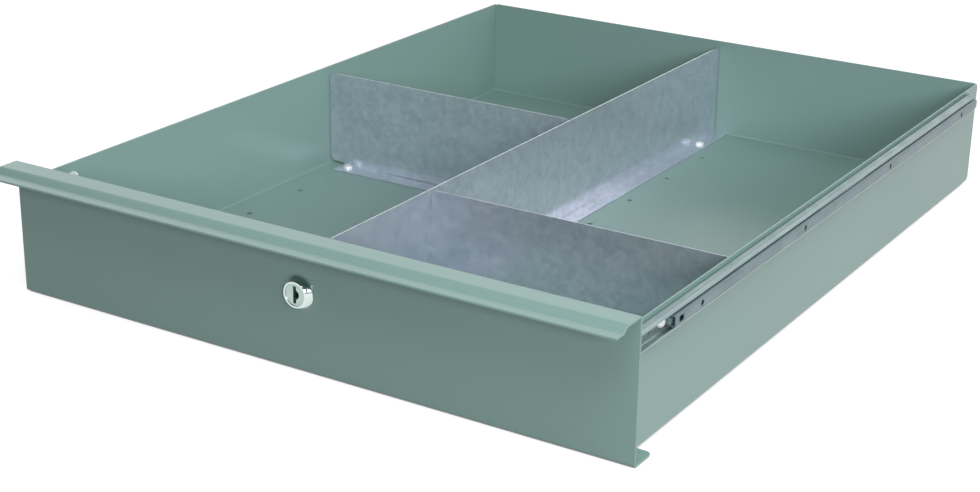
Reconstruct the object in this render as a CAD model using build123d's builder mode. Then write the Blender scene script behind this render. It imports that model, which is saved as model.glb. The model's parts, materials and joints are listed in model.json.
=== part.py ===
"""Workbench drawer: a folded sheet tray on two ball slides, with screwed-in dividers and a cam lock.

Millimetres. X runs across the drawer, Y from the front to the back, Z up.
The origin is the middle of the drawer's box, at the underside of the front panel's bottom flange.
"""
import os
from math import cos, radians, sin

from build123d import *

os.makedirs("parts", exist_ok=True)

# Overall sizes
front_width = 500.0
front_height = 100.0
body_depth = 628.0  # front face of the panel to the back of the tray
side_gap = 10.0  # side of the tray to the end of the front panel, room for a slide

# Sheet metal
front_sheet = 1.5
tray_sheet = 1.0
divider_sheet = 1.0
slide_sheet = 1.0
bend_radius = 1.0  # inside of a fold
overrun = 1.0  # how far a cut passes the faces that it opens

# Front panel
grip_reach = 31.0  # panel face to the front edge of the grip lip
grip_flat = 18.0  # panel face to the corner where the lip starts to fall
grip_slope = 5.0  # depth of the falling stretch
grip_drop = 5.0
grip_radius = 6.0
flange_depth = 23.0
flange_corner = 4.0

# Tray
tray_height = 87.0
weld_flange = 15.0
corner_relief = 1.0
corner_seam = 0.4
tray_corner = 3.0  # rounding of the upper corners at the back

# Screw holes for dividers, in rows across the tray's floor
hole_rows = 7
hole_pitch = 67.5
first_row_depth = 146.5  # behind the front face
right_divider_row = 0
left_divider_row = 3

# Dividers
divider_height = 81.0
divider_corner = 5.0
long_front_inset = 30.0  # behind the front face, clear of the lock's cam
long_foot = 15.0
long_screw_inset = 44.0  # screw to each end of the long divider
long_screw_side = 7.0  # screw to the middle of the long divider's wall
cross_foot = 17.0
cross_screw_line = 7.5  # screw line to the outer face of a cross divider's wall
cross_screw_inset = 22.5  # screw to each end of a cross divider
cross_relief_length = 14.5  # wall past each end of a cross divider's foot
cross_relief_height = 2.3
divider_end_gap = 1.0
long_end_gap = 0.2  # long divider to the fold of the tray's back

# Divider screws
divider_screw_radius = 2.0
divider_screw_play = 0.2
divider_head_radius = 3.8
divider_head_height = 2.4
recess_length = 4.4
recess_width = 1.0
recess_depth = 1.2

# Ball slides
channel_height = 16.0
channel_length = 600.0
channel_front_gap = 0.5  # channel to the back of the front panel
channel_top_gap = 2.0  # channel to the tray's top edge
ball_radius = 1.6
race_gap = 0.15
ball_reach = 4.3  # side of the tray to the balls' middle
lip_tail = 0.1
groove_angle = 50.0
rail_reach = 9.0  # side of the tray to the rail's mounting face
rail_inset = 46.0  # rail's front end behind the channel's
rail_flange_tail = 0.6
rail_hole_radius = 2.0
rail_inner_span = 160.0  # between the two inner screw holes
rail_hole_inset = 37.0  # outer screw hole to each end of the rail
rail_tab_inset = 4.0
tab_width = 4.0
rail_tab_gap = 0.6  # rail's stop tab to the channel's web
channel_tab_reach = 4.0
rear_tab_inset = 18.0
stop_play = 0.3
cage_sheet = 0.5
cage_bend = 1.0  # outside of the cage's folds
cage_length = 80.0
cage_web_gap = 0.3
cage_overhang = 2.5  # cage past the balls' middle
cage_play = 0.08
balls_per_row = 4
ball_pitch = 21.0
front_slot_inset = 26.0  # lug slot behind the channel's front end
front_slot_length = 7.0
front_slot_width = 2.6
bumper_length = 5.0
bumper_wall = 0.9
bumper_skin = 0.2

# Channel screws and nuts
channel_screw_inset = 40.8
channel_screw_radius = 1.75
channel_screw_play = 0.15
channel_head_radius = 3.4
channel_head_height = 2.2
channel_screw_tail = 1.0
channel_nut_width = 6.0
channel_nut_height = 2.6
channel_recess_length = 4.0
channel_recess_width = 0.9
channel_recess_depth = 1.1
nut_play = 0.05

# Lock
lock_height = 56.6
lock_reach = 5.5  # front face of the panel to the face of the lock
lock_face_radius = 9.1
lock_base_radius = 12.2
lock_skirt = 1.2  # straight foot of the bezel
lock_swell = 0.15  # how far the flank of the bezel bulges past a plain cone
lock_edge = 0.5
barrel_radius = 9.0
barrel_flat = 8.0  # middle of the barrel to each of its two flats
barrel_length = 16.0  # behind the front face
barrel_play = 0.1
plug_head_radius = 7.8
plug_head_depth = 3.5
plug_recess = 0.5
plug_radius = 6.4
plug_play = 0.08
plug_proud = 0.2  # plug past the end of the barrel
keyway_height = 12.0
keyway_width = 2.4
keyway_shift = 0.3
keyway_bulge = 3.5
key_slot_height = 8.0
key_slot_depth = 16.1
wafer_count = 5
wafer_pitch = 2.2
wafer_sheet = 1.2
wafer_width = 7.0
wafer_height = 10.4
wafer_play = 0.05
wafer_window = 3.6
first_wafer_inset = 2.5  # behind the plug's head
tail_width = 8.0
tail_play = 0.05
cam_sheet = 2.5
cam_length = 50.0
cam_width = 14.0
cam_hub_radius = 9.0
cam_corner = 4.0
cam_screw_radius = 2.0
cam_screw_length = 7.0
cam_head_radius = 6.0
cam_head_height = 2.6
cam_recess_length = 5.0
cam_recess_width = 1.2
cam_recess_depth = 1.4
lock_washer_radius = 13.0
lock_washer_sheet = 0.8
lock_nut_width = 24.0
lock_nut_height = 4.0

# Places worked out from the sizes
front_face_y = (grip_reach - body_depth) / 2
panel_back_y = front_face_y + front_sheet
flange_back_y = front_face_y + flange_depth
back_face_y = front_face_y + body_depth
lip_under_z = front_height - front_sheet
grip_under_z = lip_under_z - grip_drop
grip_front_y = front_face_y - grip_reach
panel_bend_outer = bend_radius + front_sheet

tray_half = front_width / 2 - side_gap
tray_inner_half = tray_half - tray_sheet
tray_bottom_z = front_sheet
floor_z = tray_bottom_z + tray_sheet
tray_top_z = tray_bottom_z + tray_height
tray_bend_outer = bend_radius + tray_sheet
tray_fold = tray_bend_outer + corner_relief
fold_z = tray_bottom_z + tray_fold
floor_front_y = panel_back_y + bend_radius
fold_front_y = panel_back_y + tray_fold
fold_back_y = back_face_y - tray_fold
back_inner_y = back_face_y - tray_sheet
flat_half = tray_half - tray_fold

divider_bend_outer = bend_radius + divider_sheet
divider_top_z = floor_z + divider_height
foot_top_z = floor_z + divider_sheet
long_side_x = -divider_sheet / 2
long_front_y = front_face_y + long_front_inset
long_back_y = back_inner_y - bend_radius - long_end_gap
long_screws = [
    (long_screw_side, long_front_y + long_screw_inset),
    (long_screw_side, long_back_y - long_screw_inset),
]
cross_inner_x = divider_sheet / 2 + divider_end_gap
cross_outer_x = tray_inner_half - divider_end_gap
cross_length = cross_outer_x - cross_inner_x
hole_columns = [cross_inner_x + cross_screw_inset, cross_outer_x - cross_screw_inset]
row_places = [front_face_y + first_row_depth + hole_pitch * row for row in range(hole_rows)]
floor_holes = [(x * side, y) for x in hole_columns for side in (-1, 1) for y in row_places]
left_row_y = row_places[left_divider_row]
right_row_y = row_places[right_divider_row]
cross_screws = [(-x, left_row_y) for x in hole_columns] + [(x, right_row_y) for x in hole_columns]
screw_hole_radius = divider_screw_radius + divider_screw_play

slide_z = tray_top_z - channel_top_gap - channel_height / 2
race_radius = ball_radius + race_gap
channel_inner = channel_height / 2 - slide_sheet
ball_rise = channel_inner - race_radius
ball_x = tray_half + ball_reach
lip_x = ball_x + race_radius
lip_rise = ball_rise - lip_tail
channel_web_x = tray_half + slide_sheet
channel_front_y = panel_back_y + channel_front_gap
channel_back_y = channel_front_y + channel_length
groove_half = race_radius * sin(radians(groove_angle))
rail_rise = ball_rise - race_radius * cos(radians(groove_angle))
groove_rise = ball_rise - race_radius
rail_face_x = tray_half + rail_reach
rail_web_x = rail_face_x - slide_sheet
rail_edge_x = ball_x - groove_half - rail_flange_tail
rail_front_y = channel_front_y + rail_inset
rail_length = channel_back_y - rail_front_y
rail_middle_y = (rail_front_y + channel_back_y) / 2
rail_tab_y = rail_front_y + rail_tab_inset
rail_tab_back_y = rail_tab_y + slide_sheet
rail_tab_x = channel_web_x + rail_tab_gap
rail_tab_length = rail_web_x - rail_tab_x
rear_tab_y = channel_back_y - rear_tab_inset
slide_travel = rear_tab_y - rail_tab_back_y - cage_length - 2 * stop_play
cage_front_y = rail_tab_back_y + stop_play + slide_travel / 2
cage_middle_y = cage_front_y + cage_length / 2
cage_rise = (lip_rise + rail_rise) / 2 + cage_sheet / 2
cage_web_x = channel_web_x + cage_web_gap
cage_edge_x = ball_x + cage_overhang
pocket_radius = (ball_radius**2 - (ball_rise - cage_rise) ** 2) ** 0.5 + cage_play
ball_places = [cage_middle_y + ball_pitch * (i - (balls_per_row - 1) / 2) for i in range(balls_per_row)]
bumper_back_y = rail_tab_y - stop_play
bumper_front_y = bumper_back_y - bumper_length
stop_tab_y = bumper_front_y + bumper_wall
channel_screw_y = channel_front_y + channel_screw_inset
channel_hole_radius = channel_screw_radius + channel_screw_play

lock_face_y = front_face_y - lock_reach
barrel_back_y = front_face_y + barrel_length
plug_face_y = lock_face_y + plug_recess
plug_shoulder_y = plug_face_y + plug_head_depth
plug_back_y = barrel_back_y + plug_proud
cam_back_y = plug_back_y + cam_sheet
washer_back_y = panel_back_y + lock_washer_sheet
wafer_places = [plug_shoulder_y + first_wafer_inset + wafer_pitch * i for i in range(wafer_count)]


def across(y):
    """Plane across the drawer at the depth y: X to the right, Z up, facing the front."""
    return Plane.XZ.offset(-y)


def folded_section(plane, points, radii, sheet, side):
    """Section of a folded sheet. The points follow one face of it, and the sheet lies on that side."""
    with BuildSketch(plane) as section:
        with BuildLine():
            FilletPolyline(*points, radius=radii)
            offset(amount=sheet, side=side)
        make_face()
    return section.sketch


def double_d(plane, radius, flat):
    """Round outline with two upright flats."""
    with BuildSketch(plane) as outline:
        with Locations((0, lock_height)):
            Circle(radius)
            Rectangle(2 * flat, 2 * radius, mode=Mode.INTERSECT)
    return outline.sketch


def pan_screw(head_radius, head_height, shank_radius, length, recess):
    """Pan-head screw with a cross recess, standing on Z with its head's underside at the origin."""
    slot_length, slot_width, slot_depth = recess
    with BuildPart() as screw:
        with BuildSketch(Plane.XZ):
            with BuildLine():
                Line((0, head_height), (0, -length))
                Line((0, -length), (shank_radius, -length))
                Line((shank_radius, -length), (shank_radius, 0))
                Line((shank_radius, 0), (head_radius, 0))
                Line((head_radius, 0), (head_radius, head_height / 2))
                TangentArc((0, head_height), (head_radius, head_height / 2), tangent=(1, 0))
            make_face()
        revolve(axis=Axis.Z)
        with BuildSketch(Plane.XY.offset(head_height)):
            Rectangle(slot_length, slot_width)
            Rectangle(slot_width, slot_length)
        extrude(amount=-slot_depth, mode=Mode.SUBTRACT)
    return screw.part


def finish(piece, name):
    """Labels a finished piece and writes it."""
    piece.part.label = name
    export_step(piece.part, f"parts/{name}.step")


# Front panel: bottom flange, face and grip lip, all one folded sheet
with BuildPart() as front_panel:
    panel_line = [
        (flange_back_y, 0),
        (front_face_y, 0),
        (front_face_y, lip_under_z),
        (front_face_y - grip_flat, lip_under_z),
        (front_face_y - grip_flat - grip_slope, grip_under_z),
        (grip_front_y, grip_under_z),
    ]
    panel_radii = [panel_bend_outer, bend_radius, grip_radius + front_sheet, grip_radius]
    panel_plane = Plane.YZ.offset(-front_width / 2)
    panel_section = folded_section(panel_plane, panel_line, panel_radii, front_sheet, Side.RIGHT)
    extrude(panel_section, amount=front_width)
    fillet(front_panel.edges().filter_by(Axis.Z).group_by(Axis.Y)[-1], flange_corner)
    hole_plane = across(panel_back_y + overrun)
    lock_hole = double_d(hole_plane, barrel_radius + barrel_play, barrel_flat + barrel_play)
    extrude(lock_hole, amount=front_sheet + 2 * overrun, mode=Mode.SUBTRACT)
finish(front_panel, "front_panel")

# Tray: floor and sides in one fold, the back folded up between them, weld flanges at the front
with BuildPart() as drawer_tray:
    side_line = [
        (-tray_half, tray_top_z),
        (-tray_half, tray_bottom_z),
        (tray_half, tray_bottom_z),
        (tray_half, tray_top_z),
    ]
    side_section = folded_section(across(fold_front_y), side_line, tray_bend_outer, tray_sheet, Side.LEFT)
    extrude(side_section, amount=fold_front_y - fold_back_y)
    back_line = [
        (floor_front_y, tray_bottom_z),
        (back_face_y, tray_bottom_z),
        (back_face_y, tray_top_z),
    ]
    back_plane = Plane.YZ.offset(-flat_half)
    back_section = folded_section(back_plane, back_line, tray_bend_outer, tray_sheet, Side.LEFT)
    extrude(back_section, amount=2 * flat_half)
    with BuildSketch(across(back_inner_y)):
        with Locations((0, (fold_z + tray_top_z) / 2)):
            Rectangle(2 * tray_half, tray_top_z - fold_z)
    extrude(amount=-tray_sheet)
    for side in (-1, 1):
        flange_line = [
            (side * tray_half, back_inner_y - corner_seam),
            (side * tray_half, panel_back_y),
            (side * (tray_half - weld_flange), panel_back_y),
        ]
        flange_side = Side.RIGHT if side > 0 else Side.LEFT
        flange_plane = Plane.XY.offset(fold_z)
        flange_section = folded_section(flange_plane, flange_line, tray_bend_outer, tray_sheet, flange_side)
        extrude(flange_section, amount=tray_top_z - fold_z)
    top_corners = drawer_tray.edges().filter_by(Axis.Y).group_by(Axis.Z)[-1].filter_by_position(
        Axis.Y, back_inner_y, back_face_y
    )
    fillet(top_corners, tray_corner)
    with Locations(*[(x, y, floor_z) for x, y in floor_holes + long_screws]):
        Hole(screw_hole_radius, depth=tray_sheet + overrun)
    with BuildSketch(Plane.YZ.offset(-tray_half - overrun)):
        with Locations((channel_screw_y, slide_z)):
            Circle(channel_hole_radius)
    extrude(amount=2 * (tray_half + overrun), mode=Mode.SUBTRACT)
finish(drawer_tray, "drawer_tray")

# Long divider: a wall from front to back, with its foot to the right
with BuildPart() as long_divider:
    long_line = [
        (long_side_x + long_foot, floor_z),
        (long_side_x, floor_z),
        (long_side_x, divider_top_z),
    ]
    long_plane = across(long_front_y)
    long_section = folded_section(long_plane, long_line, divider_bend_outer, divider_sheet, Side.RIGHT)
    extrude(long_section, amount=long_front_y - long_back_y)
    fillet(long_divider.edges().filter_by(Axis.X).group_by(Axis.Z)[-1], divider_corner)
    fillet(long_divider.edges().filter_by(Axis.Z).group_by(Axis.X)[-1], divider_corner)
    with Locations(*[(x, y, foot_top_z) for x, y in long_screws]):
        Hole(screw_hole_radius, depth=divider_sheet + overrun)
finish(long_divider, "long_divider")

# Cross dividers: the same piece twice, its foot to the front and cut back at both ends
for name, start_x, row_y in (
    ("cross_divider_left", -cross_outer_x, left_row_y),
    ("cross_divider_right", cross_inner_x, right_row_y),
):
    with BuildPart() as cross_divider:
        wall_y = row_y + cross_screw_line
        cross_line = [
            (wall_y - cross_foot, floor_z),
            (wall_y, floor_z),
            (wall_y, divider_top_z),
        ]
        cross_plane = Plane.YZ.offset(start_x)
        cross_section = folded_section(cross_plane, cross_line, divider_bend_outer, divider_sheet, Side.LEFT)
        extrude(cross_section, amount=cross_length)
        with BuildSketch(cross_plane):
            with Locations((wall_y - cross_foot / 2, floor_z + cross_relief_height / 2)):
                Rectangle(cross_foot + 2 * overrun, cross_relief_height)
        relief = extrude(amount=cross_relief_length, mode=Mode.SUBTRACT)
        mirror(relief, about=Plane.YZ.offset(start_x + cross_length / 2), mode=Mode.SUBTRACT)
        end_edges = cross_divider.edges().filter_by(Axis.Y).filter_by_position(
            Axis.Z, floor_z + cross_relief_height / 2, divider_top_z + overrun
        )
        wall_ends = end_edges.group_by(Axis.X)[0] + end_edges.group_by(Axis.X)[-1]
        fillet(wall_ends, divider_corner)
        foot_holes = [start_x + cross_screw_inset, start_x + cross_length - cross_screw_inset]
        with Locations(*[(x, row_y, foot_top_z) for x in foot_holes]):
            Hole(screw_hole_radius, depth=divider_sheet + overrun)
    finish(cross_divider, name)

# Divider screws, through the feet and flush with the tray's underside
divider_screw = pan_screw(
    divider_head_radius,
    divider_head_height,
    divider_screw_radius,
    foot_top_z - tray_bottom_z,
    (recess_length, recess_width, recess_depth),
)
with BuildPart() as divider_screws:
    with Locations(*[(x, y, foot_top_z) for x, y in long_screws + cross_screws]):
        add(divider_screw)
finish(divider_screws, "divider_screws")

# Slide pieces of the right side. Those of the left side are their mirror images.
right_pieces = {}

# Drawer channel: open outwards, its lips curved over the balls, with a stop tab at each end
with BuildPart() as drawer_channel:
    channel_line = [
        (lip_x, slide_z - lip_rise),
        (lip_x, slide_z - channel_inner),
        (channel_web_x, slide_z - channel_inner),
        (channel_web_x, slide_z + channel_inner),
        (lip_x, slide_z + channel_inner),
        (lip_x, slide_z + lip_rise),
    ]
    channel_plane = across(channel_front_y)
    channel_section = folded_section(channel_plane, channel_line, race_radius, slide_sheet, Side.LEFT)
    extrude(channel_section, amount=-channel_length)
    web_plane = Plane.YZ.offset(tray_half)
    with BuildSketch(web_plane):
        with Locations((channel_screw_y, slide_z)):
            Circle(channel_hole_radius)
        with Locations((channel_front_y + front_slot_inset, slide_z)):
            SlotOverall(front_slot_length, front_slot_width, rotation=90)
        for tab_y in (stop_tab_y, rear_tab_y):
            with Locations((tab_y + slide_sheet + channel_tab_reach / 2, slide_z)):
                Rectangle(channel_tab_reach, tab_width)
    extrude(amount=slide_sheet, mode=Mode.SUBTRACT)
    with BuildSketch(web_plane):
        for tab_y in (stop_tab_y, rear_tab_y):
            with Locations((tab_y + slide_sheet / 2, slide_z)):
                Rectangle(slide_sheet, tab_width)
    extrude(amount=slide_sheet + channel_tab_reach)
right_pieces["drawer_channel"] = drawer_channel

# Cabinet rail: nested in the channel, open towards the tray, a ball groove along each flange
with BuildPart() as cabinet_rail:
    with BuildSketch(across(rail_front_y)):
        with BuildLine():
            upper_groove_end = (ball_x + groove_half, slide_z + rail_rise)
            lower_groove_end = (ball_x + groove_half, slide_z - rail_rise)
            Line((rail_edge_x, slide_z + rail_rise), (ball_x - groove_half, slide_z + rail_rise))
            ThreePointArc(
                (ball_x - groove_half, slide_z + rail_rise),
                (ball_x, slide_z + groove_rise),
                upper_groove_end,
            )
            FilletPolyline(
                upper_groove_end,
                (rail_face_x, slide_z + rail_rise),
                (rail_face_x, slide_z - rail_rise),
                lower_groove_end,
                radius=bend_radius + slide_sheet,
            )
            ThreePointArc(
                lower_groove_end,
                (ball_x, slide_z - groove_rise),
                (ball_x - groove_half, slide_z - rail_rise),
            )
            Line((ball_x - groove_half, slide_z - rail_rise), (rail_edge_x, slide_z - rail_rise))
            offset(amount=slide_sheet, side=Side.RIGHT)
        make_face()
    extrude(amount=-rail_length)
    rail_spans = [rail_inner_span, rail_length - 2 * rail_hole_inset]
    rail_holes = [rail_middle_y + side * span / 2 for span in rail_spans for side in (-1, 1)]
    rail_web_plane = Plane.YZ.offset(rail_web_x)
    with BuildSketch(rail_web_plane):
        with Locations(*[(y, slide_z) for y in rail_holes]):
            Circle(rail_hole_radius)
        with Locations((rail_tab_back_y + rail_tab_length / 2, slide_z)):
            Rectangle(rail_tab_length, tab_width)
    extrude(amount=slide_sheet, mode=Mode.SUBTRACT)
    with BuildSketch(Plane.YZ.offset(rail_tab_x)):
        with Locations((rail_tab_y + slide_sheet / 2, slide_z)):
            Rectangle(slide_sheet, tab_width)
    extrude(amount=rail_tab_length + slide_sheet)
right_pieces["cabinet_rail"] = cabinet_rail

# Ball cage: a thin channel with a pocket for each ball
with BuildPart() as ball_cage:
    cage_line = [
        (cage_edge_x, slide_z - cage_rise),
        (cage_web_x, slide_z - cage_rise),
        (cage_web_x, slide_z + cage_rise),
        (cage_edge_x, slide_z + cage_rise),
    ]
    cage_section = folded_section(across(cage_front_y), cage_line, cage_bend, cage_sheet, Side.RIGHT)
    extrude(cage_section, amount=-cage_length)
    with Locations(*[(ball_x, y, slide_z + channel_inner) for y in ball_places]):
        Hole(pocket_radius, depth=2 * channel_inner)
right_pieces["ball_cage"] = ball_cage

# Bearing balls, a row above and a row below the rail
with BuildPart() as bearing_balls:
    with Locations(*[(ball_x, y, slide_z + side * ball_rise) for y in ball_places for side in (-1, 1)]):
        Sphere(ball_radius)
right_pieces["bearing_balls"] = bearing_balls

# Front bumper: a soft cap over the channel's front stop tab
with BuildPart() as front_bumper:
    with BuildSketch(Plane.YZ.offset(channel_web_x)):
        with Locations(((bumper_front_y + bumper_back_y) / 2, slide_z)):
            Rectangle(bumper_length, tab_width + 2 * bumper_skin)
    extrude(amount=channel_tab_reach + bumper_wall)
    fillet(front_bumper.edges().filter_by(Axis.Z).group_by(Axis.X)[-1], bumper_wall)
    with BuildSketch(Plane.YZ.offset(channel_web_x)):
        with Locations((stop_tab_y + slide_sheet / 2, slide_z)):
            Rectangle(slide_sheet, tab_width)
    extrude(amount=channel_tab_reach, mode=Mode.SUBTRACT)
right_pieces["front_bumper"] = front_bumper

# Channel screw, from outside through the channel and the tray's side, and its nut
channel_screw_length = slide_sheet + tray_sheet + channel_nut_height + channel_screw_tail
channel_pan_screw = pan_screw(
    channel_head_radius,
    channel_head_height,
    channel_screw_radius,
    channel_screw_length,
    (channel_recess_length, channel_recess_width, channel_recess_depth),
)
with BuildPart() as channel_screw:
    with Locations(Plane((channel_web_x, channel_screw_y, slide_z), x_dir=(0, 1, 0), z_dir=(1, 0, 0))):
        add(channel_pan_screw)
right_pieces["channel_screw"] = channel_screw

with BuildPart() as channel_nut:
    with BuildSketch(Plane.YZ.offset(tray_inner_half)):
        with Locations((channel_screw_y, slide_z)):
            RegularPolygon(channel_nut_width / 2, 6, major_radius=False)
            Circle(channel_screw_radius + nut_play, mode=Mode.SUBTRACT)
    extrude(amount=-channel_nut_height)
right_pieces["channel_nut"] = channel_nut

for name, right_piece in right_pieces.items():
    finish(right_piece, f"{name}_right")
    with BuildPart() as left_piece:
        mirror(right_piece.part, about=Plane.YZ)
    finish(left_piece, f"{name}_left")

# Lock housing: a swelling conical bezel in front of the panel and a barrel with two flats through it
with BuildPart() as lock_housing:
    with BuildSketch(Plane.YZ):
        with BuildLine():
            skirt_end = (front_face_y - lock_skirt, lock_height + lock_base_radius)
            face_edge = (lock_face_y, lock_height + lock_face_radius)
            Line((lock_face_y, lock_height), (front_face_y, lock_height))
            Line((front_face_y, lock_height), (front_face_y, lock_height + lock_base_radius))
            Line((front_face_y, lock_height + lock_base_radius), skirt_end)
            SagittaArc(face_edge, skirt_end, lock_swell)
            Line(face_edge, (lock_face_y, lock_height))
        make_face()
    revolve(axis=Axis((0, 0, lock_height), (0, 1, 0)))
    fillet(lock_housing.edges().filter_by(GeomType.CIRCLE).group_by(Axis.Y)[0], lock_edge)
    extrude(double_d(across(front_face_y), barrel_radius, barrel_flat), amount=-barrel_length)
    with BuildSketch(across(lock_face_y)):
        with Locations((0, lock_height)):
            Circle(plug_radius + plug_play)
    extrude(amount=lock_face_y - barrel_back_y, mode=Mode.SUBTRACT)
    with BuildSketch(across(lock_face_y)):
        with Locations((0, lock_height)):
            Circle(plug_head_radius + plug_play)
    extrude(amount=lock_face_y - plug_shoulder_y - plug_play, mode=Mode.SUBTRACT)
finish(lock_housing, "lock_housing")

# Lock plug: the part that a key turns, with wafer slots and a square tail for the cam
with BuildPart() as lock_plug:
    with BuildSketch(across(plug_face_y)):
        with Locations((0, lock_height)):
            Circle(plug_head_radius)
    extrude(amount=-plug_head_depth)
    with BuildSketch(across(plug_shoulder_y)):
        with Locations((0, lock_height)):
            Circle(plug_radius)
    extrude(amount=plug_shoulder_y - plug_back_y)
    with BuildSketch(across(plug_back_y)):
        with Locations((0, lock_height)):
            Rectangle(tail_width, tail_width)
    extrude(amount=-cam_sheet)
    with BuildSketch(across(plug_face_y)):
        with Locations((-keyway_shift, lock_height)):
            Circle(keyway_bulge)
            with Locations((-keyway_bulge / 2, 0)):
                Rectangle(keyway_bulge, 2 * keyway_bulge, mode=Mode.SUBTRACT)
            Rectangle(keyway_width, keyway_height)
    extrude(amount=-plug_head_depth, mode=Mode.SUBTRACT)
    with BuildSketch(across(plug_face_y)):
        with Locations((-keyway_shift, lock_height)):
            Rectangle(keyway_width, key_slot_height)
    extrude(amount=-key_slot_depth, mode=Mode.SUBTRACT)
    for wafer_y in wafer_places:
        with BuildSketch(across(wafer_y)):
            with Locations((0, lock_height)):
                Rectangle(wafer_width + 2 * wafer_play, wafer_height + 2 * wafer_play)
        extrude(amount=-wafer_sheet - 2 * wafer_play, mode=Mode.SUBTRACT)
    with BuildSketch(across(cam_back_y)):
        with Locations((0, lock_height)):
            Circle(cam_screw_radius + nut_play)
    extrude(amount=cam_screw_length, mode=Mode.SUBTRACT)
finish(lock_plug, "lock_plug")

# Lock wafers: small plates that a key lifts, each with a window for it
with BuildPart() as lock_wafers:
    for wafer_y in wafer_places:
        with BuildSketch(across(wafer_y + wafer_play)):
            with Locations((0, lock_height)):
                Rectangle(wafer_width, wafer_height)
            with Locations((-keyway_shift, lock_height)):
                Rectangle(wafer_window, key_slot_height, mode=Mode.SUBTRACT)
        extrude(amount=-wafer_sheet)
finish(lock_wafers, "lock_wafers")

# Lock cam: on the plug's square tail, to the left when open
with BuildPart() as lock_cam:
    with BuildSketch(across(plug_back_y)) as cam_outline:
        with Locations((-cam_length / 2, lock_height)):
            Rectangle(cam_length, cam_width)
        fillet(cam_outline.vertices().group_by(Axis.X)[0], cam_corner)
        with Locations((0, lock_height)):
            Circle(cam_hub_radius)
            Rectangle(tail_width + 2 * tail_play, tail_width + 2 * tail_play, mode=Mode.SUBTRACT)
    extrude(amount=-cam_sheet)
finish(lock_cam, "lock_cam")

# Cam screw, into the plug's tail
cam_pan_screw = pan_screw(
    cam_head_radius,
    cam_head_height,
    cam_screw_radius,
    cam_screw_length,
    (cam_recess_length, cam_recess_width, cam_recess_depth),
)
with BuildPart() as cam_screw:
    with Locations(Plane((0, cam_back_y, lock_height), x_dir=(1, 0, 0), z_dir=(0, 1, 0))):
        add(cam_pan_screw)
finish(cam_screw, "cam_screw")

# Lock washer and lock nut, which hold the barrel behind the panel
with BuildPart() as lock_washer:
    with BuildSketch(across(panel_back_y)):
        with Locations((0, lock_height)):
            Circle(lock_washer_radius)
            Circle(barrel_radius + barrel_play, mode=Mode.SUBTRACT)
    extrude(amount=-lock_washer_sheet)
finish(lock_washer, "lock_washer")

with BuildPart() as lock_nut:
    with BuildSketch(across(washer_back_y)):
        with Locations((0, lock_height)):
            RegularPolygon(lock_nut_width / 2, 6, major_radius=False)
            Circle(barrel_radius + nut_play, mode=Mode.SUBTRACT)
    extrude(amount=-lock_nut_height)
finish(lock_nut, "lock_nut")

print("slide travel", round(slide_travel, 2))
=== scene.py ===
"""Workbench drawer: folded sheet, dividers, screws, ball slides and a cam lock.

Dresses the packed model. Laid out as an add-on and run as a script. Metres, in the frame of the
packed model: X across the drawer, Y from its front to its back, Z up.
"""
import json
import math

import bmesh
import bpy
from bpy.props import FloatProperty, FloatVectorProperty, IntProperty, PointerProperty
from mathutils import Matrix, Vector

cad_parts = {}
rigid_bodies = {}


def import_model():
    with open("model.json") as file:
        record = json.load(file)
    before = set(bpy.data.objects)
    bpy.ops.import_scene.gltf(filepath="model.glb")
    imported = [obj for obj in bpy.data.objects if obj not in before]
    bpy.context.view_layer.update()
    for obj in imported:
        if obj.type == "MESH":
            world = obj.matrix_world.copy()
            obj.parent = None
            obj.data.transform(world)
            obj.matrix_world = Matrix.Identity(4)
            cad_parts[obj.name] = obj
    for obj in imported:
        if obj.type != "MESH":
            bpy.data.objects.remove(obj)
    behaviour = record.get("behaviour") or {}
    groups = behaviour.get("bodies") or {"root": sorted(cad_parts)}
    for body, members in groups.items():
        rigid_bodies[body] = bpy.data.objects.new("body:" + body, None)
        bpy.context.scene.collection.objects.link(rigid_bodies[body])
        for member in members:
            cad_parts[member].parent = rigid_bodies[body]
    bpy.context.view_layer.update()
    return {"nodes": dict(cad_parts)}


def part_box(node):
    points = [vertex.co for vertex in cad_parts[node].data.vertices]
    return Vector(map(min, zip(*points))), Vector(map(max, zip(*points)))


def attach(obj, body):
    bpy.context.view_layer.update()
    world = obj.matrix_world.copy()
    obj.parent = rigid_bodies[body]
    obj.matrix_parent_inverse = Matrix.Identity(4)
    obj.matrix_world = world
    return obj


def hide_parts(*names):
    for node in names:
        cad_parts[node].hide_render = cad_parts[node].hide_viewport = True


bl_info = {
    "name": "Workbench drawer",
    "version": (1, 0, 0),
    "blender": (4, 5, 0),
    "location": "3D View > Sidebar > Drawer",
    "description": "Models and finishes the pieces of a workbench drawer on its packed frame",
    "category": "Object",
}

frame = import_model()

same_place = 1e-5  # places this near each other count as one
weld_gap = 2e-6  # points of a packed mesh this near each other are one point
flat_angle = math.radians(0.4)  # faces of a packed mesh within it are one face
sharp_angle = math.radians(40)  # edges past it are rounded
smooth_angle = math.radians(38)  # edges past it stay hard in the shading
face_weight = 60  # pull of large faces on the shading
drill_length = 0.004  # tool that drills through a divider's foot
screw_hole_sides, screw_head_sides, lock_hole_sides = 32, 40, 64

dome_steps = 7  # rings of a screw head's dome
rim_share = 0.5  # upright rim of a screw head, of its height
dome_share = 0.94  # how far a head's dome closes towards its crown
blade_share = 0.23  # width of a cross recess, of its length
taper_share = 0.62  # foot of a cross recess, of its mouth
head_edge_share = 0.04  # rounding of a head's edges, of its radius or height


def length(name, description, default):
    """A size in metres that a user can change."""
    return FloatProperty(
        name=name, description=description, default=default, min=0.0, precision=5,
        subtype="DISTANCE", unit="LENGTH",
    )


def share(name, description, default):
    """A number from 0 to 1 that a user can change."""
    return FloatProperty(
        name=name, description=description, default=default, min=0.0, max=1.0, subtype="FACTOR"
    )


def angle(name, description, degrees):
    """An angle that a user can change."""
    return FloatProperty(
        name=name, description=description, default=math.radians(degrees), subtype="ANGLE"
    )


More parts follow.
